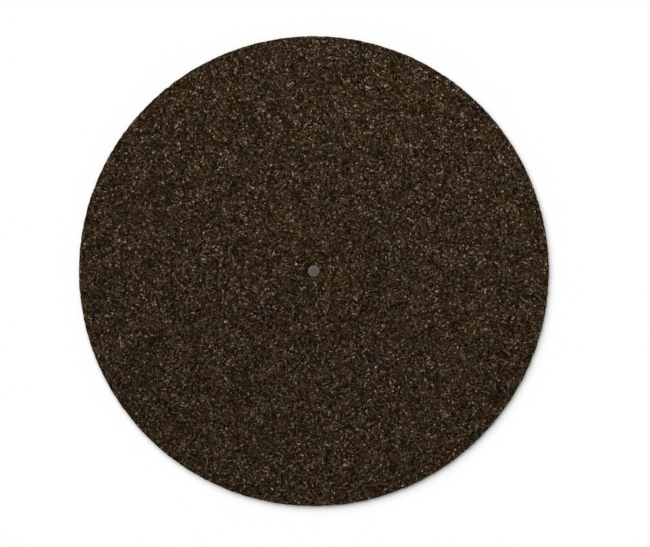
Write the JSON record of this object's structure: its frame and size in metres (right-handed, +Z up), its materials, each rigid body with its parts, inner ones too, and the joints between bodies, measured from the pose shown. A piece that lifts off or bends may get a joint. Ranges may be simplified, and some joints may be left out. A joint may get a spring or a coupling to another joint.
{
  "type": "turntable platter mat",
  "caption": "Flat round platter mat of cork granules bound in dark rubber, with a centre hole for the spindle.",
  "frame": {"origin": "centre of the underside, on the spindle hole's axis", "axes": "+Z up along the spindle hole's axis, out of the face that carries the record; X and Y lie in the mat, which is round, so their directions are free"},
  "size_m": [0.3, 0.3, 0.003],
  "materials": {
    "cork_rubber": "matte"
  },
  "bodies": {
    "root": {"platter_mat": "cork_rubber"}
  },
  "joints": []
}
